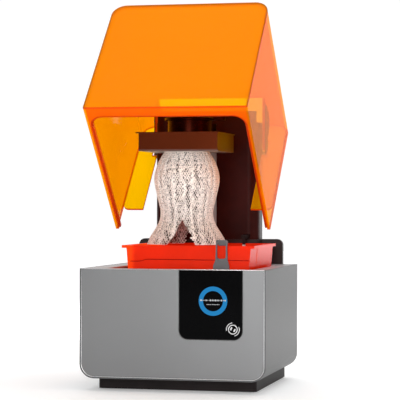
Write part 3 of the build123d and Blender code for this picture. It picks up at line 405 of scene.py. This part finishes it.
def sweep(path, profile, closed=False):
    """A bmesh that carries a closed profile along path; path is (point, across, up) at each station."""
    bm = bmesh.new()
    rings = [[bm.verts.new(p + across * a + up * b) for a, b in profile] for p, across, up in path]
    count = len(profile)
    spans = len(rings) if closed else len(rings) - 1
    for i in range(spans):
        r0, r1 = rings[i], rings[(i + 1) % len(rings)]
        for k in range(count):
            bm.faces.new((r0[k], r0[(k + 1) % count], r1[(k + 1) % count], r1[k]))
    if not closed:
        bm.faces.new(rings[0])
        bm.faces.new(list(reversed(rings[-1])))
    return bm


def trail(line, place, second, third, closed=False):
    """Stations for sweep along a line drawn on the X axis and a second axis; third is square to both."""
    stations = []
    for i, point in enumerate(line):
        a0, b0 = line[i - 1] if closed else line[max(i - 1, 0)]
        a1, b1 = line[(i + 1) % len(line)] if closed else line[min(i + 1, len(line) - 1)]
        length = hypot(a1 - a0, b1 - b0)
        across = Vector(((b1 - b0) / length, 0, 0)) - second * ((a1 - a0) / length)
        stations.append((place(*point), across, third))
    return stations


def strip(name, path, width, height, radius, mat, body, steps=4, closed=False):
    """A rounded strip along a path, its section in millimetres, as a piece."""
    profile = [(a * MM, b * MM) for a, b in rounded(width, height, radius, steps)]
    return piece(name, sweep(path, profile, closed), mat, body)


def rounded(width, height, radius, steps=4):
    """A closed rounded-rectangle profile about its centre."""
    points = []
    for cx, cy, start in ((1, 1, 0), (-1, 1, 90), (-1, -1, 180), (1, -1, 270)):
        for k in range(steps + 1):
            a = radians(start + 90 * k / steps)
            points.append((cx * (width / 2 - radius) + radius * cos(a),
                           cy * (height / 2 - radius) + radius * sin(a)))
    return points


def arc(cx, cy, radius, start, end, steps):
    """Points on an arc in a plane, angles in degrees."""
    return [(cx + radius * cos(radians(start + (end - start) * k / steps)),
             cy + radius * sin(radians(start + (end - start) * k / steps))) for k in range(steps + 1)]


def raised_ring(bm, cx, cz, inner, outer, front, back, start=0, end=360, steps=72):
    """Adds a flat ring or arc that faces the front, between two Y planes."""
    whole = end - start >= 360
    count = steps if whole else steps + 1
    rings = []
    for k in range(count):
        a = radians(start + (end - start) * k / steps)
        rings.append([bm.verts.new((cx + r * cos(a), y, cz + r * sin(a)))
                      for r, y in ((inner, front), (outer, front), (outer, back), (inner, back))])
    for k in range(steps):
        a, b = rings[k], rings[(k + 1) % count]
        for i in range(4):
            bm.faces.new((a[i], a[(i + 1) % 4], b[(i + 1) % 4], b[i]))
    if not whole:
        bm.faces.new(rings[0])
        bm.faces.new(list(reversed(rings[-1])))


def slab(bm, near, far):
    """Adds a closed solid between two outlines that have the same number of points."""
    ends = [[bm.verts.new(p) for p in outline] for outline in (near, far)]
    bm.faces.new(ends[0])
    bm.faces.new(list(reversed(ends[1])))
    for k in range(len(near)):
        j = (k + 1) % len(near)
        bm.faces.new((ends[0][k], ends[1][k], ends[1][j], ends[0][j]))


def raised_bar(bm, cx, cz, width, height, front, back, steps=6):
    """Adds a bar with round ends that faces the front."""
    r = height / 2
    half = width / 2 - r
    outline = arc(cx + half, cz, r, -90, 90, steps) + arc(cx - half, cz, r, 90, 270, steps)
    slab(bm, *([(x, y, z) for x, z in outline] for y in (front, back)))


# ------------------------------------------------------------------ display and button
PROUD = 0.05 * MM  # how far a mark on the glass stands out of it
SUNK = 0.3 * MM  # how deep a mark goes in
glass_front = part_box("display_glass")[0][1]
UI_Y = glass_front - PROUD
UI_BACK = glass_front + SUNK
RING_X, RING_Z = 77.3 * MM, 168.6 * MM
RING_IN, RING_OUT = 18.5 * MM, 26.5 * MM
bm = bmesh.new()
raised_ring(bm, RING_X, RING_Z, RING_IN, RING_OUT, UI_Y, UI_BACK, steps=96)
piece("display_ring", bm, glow("display_blue", (0.022, 0.235, 0.54), 1.0), "base", False)

# Two rows of plain dashes, in millimetres: widths (0 is a wide gap), height from the ring's centre,
# thickness, gap.
DASH_ROWS = (
    ((3.8, 1.9, 1.5, 2.9, 1.7, 0, 4.0, 3.2, 4.4, 3.0, 1.5, 3.0, 2.0, 3.0), 1.4, 3.0, 0.95),
    ((2.2, 2.6, 1.8, 0, 2.4, 3.0, 2.0, 2.6, 1.6), -6.2, 1.2, 0.7),
)
DASH_Y = UI_Y - 0.02 * MM  # in front of the ring that they cross
bm = bmesh.new()
for dashes, z, tall, gap in DASH_ROWS:
    x = -(sum(dashes) + gap * (len(dashes) - 1)) / 2
    for wide in dashes:
        if wide:
            raised_bar(bm, RING_X + (x + wide / 2) * MM, RING_Z + z * MM, wide * MM, min(tall, wide) * MM,
                       DASH_Y, UI_BACK)
        x += wide + gap
piece("display_bars", bm, glow("display_white", (0.66, 0.68, 0.70), 0.9), "base", False)

button_low, button_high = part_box("panel_button")
BUTTON_X = (button_low[0] + button_high[0]) / 2
BUTTON_Z = (button_low[2] + button_high[2]) / 2
ICON_Y = button_low[1] - 0.06 * MM  # a little prouder than the marks on the glass
ICON_BACK = button_low[1] + SUNK
icon = moulded("button_print", (0.52, 0.52, 0.52), 0.3, 900.0, 0.02, 0.05)
bm = bmesh.new()
raised_ring(bm, BUTTON_X, BUTTON_Z, 7.2 * MM, 8.9 * MM, ICON_Y, ICON_BACK)
for start, end in ((110, 200), (290, 380)):
    raised_ring(bm, BUTTON_X, BUTTON_Z, 2.2 * MM, 5.0 * MM, ICON_Y, ICON_BACK, start, end, 24)
piece("button_icon", bm, icon, "button", False)
bm = bmesh.new()
for start, end in ((95, 190), (-75, 25)):
    raised_ring(bm, BUTTON_X, BUTTON_Z, 11.3 * MM, 12.6 * MM, UI_Y, UI_BACK, start, end, 30)
piece("button_arcs", bm, icon, "base", False)

# ------------------------------------------------------------------ bright bead round the front panel, a painted highlight along its edge
PANEL_HALF, PANEL_LOW, PANEL_HIGH, PANEL_R = 171.8, 26.3, 225.1, 23.8
PANEL_MID = 120.0  # height of one more station on each straight side
panel_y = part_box("front_panel")[0][1] - 0.15 * MM
line = [(PANEL_HALF, PANEL_HIGH), (-PANEL_HALF, PANEL_HIGH), (-PANEL_HALF, PANEL_MID)]
line += arc(-PANEL_HALF + PANEL_R, PANEL_LOW + PANEL_R, PANEL_R, 180, 270, 12)
line += arc(PANEL_HALF - PANEL_R, PANEL_LOW + PANEL_R, PANEL_R, 270, 360, 12)
line += [(PANEL_HALF, PANEL_MID)]
path = trail(line, lambda x, z: Vector((x * MM, panel_y, z * MM)), AXIS_Z, AXIS_Y, True)
# The bead's bright metal is a painted highlight along the edge of the front panel.
highlight_metal = metal("polished_edge", (0.78, 0.78, 0.79), 0.3, (1, 1, 1), 300.0)
strip("panel_bead", path, 0.8, 0.8, 0.38, highlight_metal, "base", 3, True)

# ------------------------------------------------------------------ bead round the cover's mouth
BEAD_HALF = 143.9
BEAD_FRONT = -139.0
BEAD_END = 148.0
BEAD_R = 23.0
BEAD_Z = 231.0
BEAD_STEP, BEAD_STEPS = 12, 23  # the straight sides' stations
side = [BEAD_END - BEAD_STEP * k for k in range(BEAD_STEPS)]
line = [(-BEAD_HALF, y) for y in side]
line += arc(-BEAD_HALF + BEAD_R, BEAD_FRONT + BEAD_R, BEAD_R, 180, 270, 10)
line += arc(BEAD_HALF - BEAD_R, BEAD_FRONT + BEAD_R, BEAD_R, 270, 360, 10)
line += [(BEAD_HALF, y) for y in reversed(side)]
path = trail(line, lambda x, y: lid(x, y, BEAD_Z), LID_Y, LID_Z)
# The bead's dark red body is painted shade and its brighter edge faces are a painted highlight, along the
# inner edge of the cover's mouth.
bead = acrylic("cover_bead_sheet", LID_Z, False, (0.9, 0.22, 0.006), (0.62, 0.075, 0.004), 0.66,
               (0.95, 0.24, 0.03))
strip("cover_bead", path, 4.4, 9.0, 2.1, bead, "cover")

# ------------------------------------------------------------------ cemented seam round the cover's front
EDGE_R = 27.0
EDGE_X, EDGE_Y, EDGE_TOP = 151.4, -161.2, 518.6
EDGE_SIDE = (226.0, 300.0, 400.0)  # heights of the straight sides' stations
line = [(-EDGE_X, z) for z in EDGE_SIDE]
line += arc(-EDGE_X + EDGE_R, EDGE_TOP - EDGE_R, EDGE_R, 180, 90, 10)
line += arc(EDGE_X - EDGE_R, EDGE_TOP - EDGE_R, EDGE_R, 90, 0, 10)
line += [(EDGE_X, z) for z in reversed(EDGE_SIDE)]
path = trail(line, lambda x, z: lid(x, EDGE_Y, z), LID_Z, LID_Y)
joint = acrylic("cover_joint_sheet", LID_Y, True, (0.7, 0.12, 0.01), (0.30, 0.030, 0.006), 0.8,
                (0.30, 0.03, 0.006))
strip("cover_joint", path, 1.5, 2.0, 0.6, joint, "cover", 3)

# ------------------------------------------------------------------ mouldings on the tank, in painted shade and a painted highlight
GLOW_END = (-0.103, -0.084)
# The step is a raised strip; its dark red is painted shade along the step.
step_shade_red = resin("tank_step_shade_resin", (0.26, 0.006, 0.001), (0.6, 0.03, 0.002), 0.1, GLOW_END,
                 (0.45, 0.06, 0.002))
# The rib's lighter red is a painted highlight, a vertical line of light on the tank's right wall.
rib_painted_highlight = resin("tank_rib_painted_highlight", (0.95, 0.16, 0.06), (1.0, 0.20, 0.04), 0.1, GLOW_END, (0.6, 0.08, 0.002))
tank_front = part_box("resin_tank")[0][1] - 0.1 * MM
STEP_LINE = ((-88.6, 238.6), (-74, 238.6), (-66, 239.4), (-60, 241.6), (-54, 242.4), (60, 241.8),
             (136.6, 241.2))
path = [(Vector((x * MM, tank_front, z * MM)), AXIS_Y, AXIS_Z) for x, z in STEP_LINE]
strip("tank_step", path, 1.0, 1.3, 0.45, step_shade_red, "tank", 3)

# The right wall leans outwards from its foot.
WALL_X, WALL_Z, WALL_LEAN, WALL_TALL = 135.6, 214.0, 4.0, 49.0
RIB_LINE = ((-66, 232), (-63.4, 236), (-62.6, 241), (-63.6, 247), (-65.2, 252), (-64.6, 257), (-62, 262.5))
path = [(Vector(((WALL_X + (z - WALL_Z) * WALL_LEAN / WALL_TALL) * MM, y * MM, z * MM)), AXIS_X, AXIS_Y)
        for y, z in RIB_LINE]
strip("tank_rib", path, 1.2, 1.6, 0.55, rib_painted_highlight, "tank", 3)

# ------------------------------------------------------------------ printed lattice
print_low, print_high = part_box("printed_model")
PRINT_TOP = print_high[2]
PRINT_MID = Vector((0, (print_low[1] + print_high[1]) / 2, 0))
# Radius at a distance below the platform, both in millimetres.
PROFILE = ((0, 43.5), (22, 55.5), (50, 62.4), (83, 57.0), (113, 50.4), (130, 52.4), (145, 60.0), (160, 69.6),
           (175, 76.4))
LONG = 175  # length of the print as designed
FALL = 174.4 / LONG  # the lowest edge stays clear of the tank
FOLDS = 40
FOLD_DEEP = 0.7
FLARE_FROM, FLARE_SPAN, FLARE_SQUEEZE = 120, 55, 0.10  # the feet are narrower front to back
CELL_ROWS = 44
CELL_COLS = 82
SKIN = 3.0  # thickness of the openwork, with a sheet of painted shade in the middle of it
ARCH_HEADINGS = [radians(h) for h in (-86.0, 86.0)]
ARCH_TALL, ARCH_HALF, ARCH_RADIUS, ARCH_POWER = 50, 25, 68, 1.25
JITTER_TURN, JITTER_DROP = 0.5, 0.55  # how far a corner strays, in half cells
# How far a cell is open, from 0 to 1: in the middle, by the folds, and by chance.
HOLE_MEAN, HOLE_FOLD, HOLE_CHANCE = 0.49, 0.32, 0.30
HOLE_LOW, LOW_FROM = 0.16, 60  # more open from here down to the feet
HOLE_TOP, TOP_END = 0.25, 22  # less open from here up to the platform
HOLE_LEAST, HOLE_MOST = 0.04, 0.86


def profile_radius(drop):
    """Radius of the print, in millimetres, at a distance below the platform."""
    last = len(PROFILE) - 1
    for k in range(last):
        (d0, r0), (d1, r1) = PROFILE[k], PROFILE[k + 1]
        if drop <= d1 or k + 1 == last:
            before, after = PROFILE[max(k - 1, 0)], PROFILE[min(k + 2, last)]
            span = d1 - d0
            m0 = (r1 - before[1]) / (d1 - before[0]) * span
            m1 = (after[1] - r0) / (after[0] - d0) * span
            t = (drop - d0) / span
            return ((2 * t ** 3 - 3 * t ** 2 + 1) * r0 + (t ** 3 - 2 * t ** 2 + t) * m0
                    + (3 * t ** 2 - 2 * t ** 3) * r1 + (t ** 3 - t ** 2) * m1)


def fold(turn, drop):
    """How far a point lies on a crest (1) or in a valley (-1) of the vertical folds."""
    drift = 0.5 * sin(drop / 31.0 + 1.3) + 0.35 * sin(2 * turn + drop / 47.0)
    return 0.62 * sin(FOLDS / 2 * turn + drift) + 0.38 * sin(FOLDS * 0.77 * turn - 1.4 * drift + 0.8)


def print_point(turn, drop, depth=0.0):
    """A point of the skin, in metres, at a depth in millimetres inside its outer face."""
    r = profile_radius(drop) - FOLD_DEEP + FOLD_DEEP * fold(turn, drop) - depth
    flare = max(0.0, (drop - FLARE_FROM) / FLARE_SPAN)
    squeeze = 1 - FLARE_SQUEEZE * flare
    level = Vector((0, 0, PRINT_TOP - drop * FALL * MM))
    return PRINT_MID + Vector((r * cos(turn), r * sin(turn) * squeeze, 0)) * MM + level


def in_arch(turn, drop, margin=0.0):
    """True inside either arch between the legs, or nearer to one than a margin in millimetres."""
    up = LONG - drop
    if up > ARCH_TALL + margin:
        return False
    half = (ARCH_HALF * (1 - (min(up, ARCH_TALL) / ARCH_TALL) ** ARCH_POWER) + margin) / ARCH_RADIUS
    for heading in ARCH_HEADINGS:
        gap = (turn - heading + pi) % (2 * pi) - pi
        if abs(gap) < half:
            return True
    return False


def lattice():
    """An openwork skin of jittered six-sided cells whose holes grow in the valleys of the folds."""
    bm = bmesh.new()
    corners = {}
    columns, rows = 2 * CELL_COLS, 2 * CELL_ROWS

    def corner(i, j):
        key = (i % columns, j)
        if key not in corners:
            turn = 2 * pi * key[0] / columns
            drop = j * LONG / rows
            if 0 < j < rows:
                turn += rng.uniform(-JITTER_TURN, JITTER_TURN) * 2 * pi / columns
                drop += rng.uniform(-JITTER_DROP, JITTER_DROP) * LONG / rows
            corners[key] = (turn, drop)
        return corners[key]

    cells = []
    for row in range(CELL_ROWS):
        shift = row % 2
        for col in range(CELL_COLS):
            i = 2 * col + shift
            j = 2 * row
            ring = [(i, j), (i + 1, j), (i + 2, j + 1), (i + 1, j + 2), (i, j + 2), (i - 1, j + 1)]
            cells.append([(k % columns, m) for k, m in ring])
    outer, inner = {}, {}
    for ring in cells:
        points = [corner(i, j) for i, j in ring]
        base = points[0][0]
        turns = [base + ((t - base + pi) % (2 * pi) - pi) for t, d in points]
        mid_turn = sum(turns) / 6
        mid_drop = sum(d for t, d in points) / 6
        hole = HOLE_MEAN - HOLE_FOLD * fold(mid_turn, mid_drop) + rng.uniform(-HOLE_CHANCE, HOLE_CHANCE)
        hole += (HOLE_LOW * max(0.0, (mid_drop - LOW_FROM) / (LONG - LOW_FROM))
                 - HOLE_TOP * max(0.0, (TOP_END - mid_drop) / TOP_END))
        hole = min(HOLE_MOST, max(HOLE_LEAST, hole))
        if in_arch(mid_turn, mid_drop):
            continue
        for (i, j), t in zip(ring, turns):
            if (i, j) not in outer:
                drop = corners[(i, j)][1]
                outer[(i, j)] = bm.verts.new(print_point(t, drop))
                inner[(i, j)] = bm.verts.new(print_point(t, drop, SKIN))
        rims = []
        for depth in (0.0, SKIN):
            rims.append([bm.verts.new(print_point(mid_turn + (t - mid_turn) * hole,
                                                  mid_drop + (d - mid_drop) * hole, depth))
                         for t, (_, d) in zip(turns, points)])
        for k in range(6):
            m = (k + 1) % 6
            a, b = ring[k], ring[m]
            bm.faces.new((outer[a], outer[b], rims[0][m], rims[0][k]))
            bm.faces.new((inner[b], inner[a], rims[1][k], rims[1][m]))
            bm.faces.new((rims[0][k], rims[0][m], rims[1][m], rims[1][k]))
    return bm


def shade_sheet():
    """A dark plain sheet in the middle of the skin, painted shade that shows through the holes."""
    bm = bmesh.new()
    columns, rows = 180, 70
    start, length, clear = 1.0, 172.0, 2.0  # millimetres; clear is how far it keeps from the arches
    points = {}

    def at(i, j):
        key = (i % columns, j)
        if key not in points:
            turn = 2 * pi * key[0] / columns
            points[key] = bm.verts.new(print_point(turn, start + j * length / rows, SKIN / 2))
        return points[key]

    for i in range(columns):
        for j in range(rows):
            if not in_arch(2 * pi * (i + 0.5) / columns, start + (j + 0.5) * length / rows, clear):
                bm.faces.new((at(i, j), at(i + 1, j), at(i + 1, j + 1), at(i, j + 1)))
    return bm


def cured(name):
    """Pale cured resin: matt, slightly warm, and lit from behind."""
    g = Graph(name)
    layer = g.add("TexWave", wave_type="BANDS", bands_direction="Z")
    g.link(g.where.outputs["Object"], layer.inputs["Vector"])
    layer.inputs["Scale"].default_value = 900.0
    layer.inputs["Distortion"].default_value = 1.0
    cloud = g.noise(45.0, 3.0)
    shade = g.surface(
        Base_Color=g.blend(cloud, (0.92, 0.78, 0.69), (0.94, 0.86, 0.81)),
        Roughness=g.ramp(cloud, 0.42, 0.6),
        Normal=g.bump(layer.outputs["Fac"], 0.12, 0.0002))
    back = g.add("BsdfTranslucent")
    g.link(g.blend(cloud, (0.85, 0.62, 0.50), (0.88, 0.72, 0.64)), back.inputs["Color"])
    return g.done(g.mix(0.12, shade, back.outputs[0]))


cured_resin = cured("cured_resin")
skin = piece("print_lattice", lattice(), cured_resin, "platform", False)
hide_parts("printed_model")
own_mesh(skin)
# Painted shade: a dark sheet inside the skin that darkens what shows through the holes.
shade_finish = moulded("print_shade_finish", (0.030, 0.013, 0.010), 0.8, shine=0.1)
inside = piece("print_liner", shade_sheet(), shade_finish, "platform", False)
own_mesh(inside)

RAFT_THICK = 1.6 * MM
bm = bmesh.new()
outline = [(PRINT_MID.x + x * MM, PRINT_MID.y + y * MM) for x, y in rounded(85.0, 82.0, 38.0, 8)]
slab(bm, *([(x, y, z) for x, y in outline] for z in (PRINT_TOP, PRINT_TOP - RAFT_THICK)))
piece("print_raft", bm, cured_resin, "platform", False)

# ------------------------------------------------------------------ floor, light, camera
FLOOR_HALF, FLOOR_Z = 9, -0.0002
bm = bmesh.new()
bm.faces.new([bm.verts.new((x * FLOOR_HALF, y * FLOOR_HALF, FLOOR_Z))
              for x, y in ((-1, -1), (1, -1), (1, 1), (-1, 1))])
mesh = bpy.data.meshes.new("floor")
bm.to_mesh(mesh)
bm.free()
# The floor glows, less near the printer: painted shade round its foot, and a plain white further out.
g = Graph("floor_paper")
reach = g.add("VectorMath", operation="LENGTH")
g.link(g.where.outputs["Object"], reach.inputs[0])
mesh.materials.append(g.done(g.surface(
    Base_Color=g.blend(g.noise(3.0), (0.80, 0.80, 0.80), (0.82, 0.82, 0.82)),
    Roughness=0.7, Specular_IOR_Level=0.1, Emission_Color=(1.0, 1.0, 1.0),
    Emission_Strength=g.ramp(reach.outputs["Value"], 0.26, 0.80, 0.35, 1.3))))
floor = bpy.data.objects.new("floor", mesh)
bpy.context.scene.collection.objects.link(floor)

world = bpy.data.worlds.new("studio")
bpy.context.scene.world = world
world.use_nodes = True
tree = world.node_tree
tree.nodes.clear()


def world_node(kind, **settings):
    """A node of the world."""
    n = tree.nodes.new("ShaderNode" + kind)
    for key, value in settings.items():
        setattr(n, key, value)
    return n


def world_math(operation, a, b):
    """A math node's result, from two sockets or numbers."""
    n = world_node("Math", operation=operation)
    for source, target in ((a, n.inputs[0]), (b, n.inputs[1])):
        if isinstance(source, bpy.types.NodeSocket):
            tree.links.new(source, target)
        else:
            target.default_value = source
    return n.outputs[0]


way = world_node("TexCoord")
split = world_node("SeparateXYZ")
tree.links.new(way.outputs["Generated"], split.inputs[0])


def slope(source, start, end, low, high):
    """A value that runs from low to high while the source goes from start to end, and stays there."""
    n = world_node("MapRange")
    tree.links.new(source, n.inputs["Value"])
    for key, value in (("From Min", start), ("From Max", end), ("To Min", low), ("To Max", high)):
        n.inputs[key].default_value = value
    return n.outputs["Result"]


# Light from around by direction: in front it comes from the right and at the back from the left, and there
# is less of it from higher up. The camera itself sees plain white.
front_side = slope(split.outputs["X"], -0.45, 0.0, 0.05, 1.10)
back_side = slope(split.outputs["X"], -0.45, 0.15, 1.35, 0.12)
share = slope(split.outputs["Y"], -0.25, 0.25, 0.0, 1.0)
level = world_math("ADD", world_math("MULTIPLY", front_side, world_math("SUBTRACT", 1.0, share)),
                   world_math("MULTIPLY", back_side, share))
level = world_math("MULTIPLY", level, slope(split.outputs["Z"], 0.0, 0.9, 1.0, 0.45))
soft = world_node("Background")
tree.links.new(level, soft.inputs["Strength"])
soft.inputs["Color"].default_value = (1, 1, 1, 1)
white = world_node("Background")
white.inputs["Color"].default_value = (1, 1, 1, 1)
white.inputs["Strength"].default_value = 1.02
ray = world_node("LightPath")
choose = world_node("MixShader")
tree.links.new(ray.outputs["Is Camera Ray"], choose.inputs[0])
tree.links.new(soft.outputs[0], choose.inputs[1])
tree.links.new(white.outputs[0], choose.inputs[2])
final = world_node("OutputWorld")
tree.links.new(choose.outputs[0], final.inputs["Surface"])


def softbox(name, place, aim, size, power, mirrored=False):
    """A rectangular light, in metres and watts; mirrored is whether glossy surfaces reflect it."""
    data = bpy.data.lights.new(name, "AREA")
    data.shape = "RECTANGLE"
    data.size, data.size_y = size
    data.energy = power
    light = bpy.data.objects.new(name, data)
    light.location = place
    light.rotation_euler = (Vector(aim) - Vector(place)).to_track_quat("-Z", "Y").to_euler()
    light.visible_glossy = mirrored
    bpy.context.scene.collection.objects.link(light)


softbox("key", (0.32, -2.8, 0.65), (0, 0, 0.25), (1.0, 1.0), 36, True)
softbox("top", (0.2, 0.3, 2.3), (0, 0, 0.2), (2.4, 2.4), 34, True)
softbox("side", (2.0, -0.7, 0.9), (0, 0, 0.3), (0.5, 1.4), 5, True)
softbox("back", (0.3, 2.2, 1.0), (0, 0, 0.4), (2.4, 1.8), 22)
softbox("card", (0.56, 2.1, 0.62), (0.15, -0.05, 0.5), (0.34, 1.0), 2.6, True)

FOCAL = 155.6
data = bpy.data.cameras.new("camera")
data.lens = FOCAL
data.sensor_width = 36
data.clip_end = 60
camera = bpy.data.objects.new("camera", data)
camera.location = (0.7630, -3.2245, 0.3479)
camera.rotation_euler = (radians(90.076), radians(-0.11), radians(13.067))
bpy.context.scene.collection.objects.link(camera)
bpy.context.scene.camera = camera
bpy.context.scene.view_settings.view_transform = "Standard"
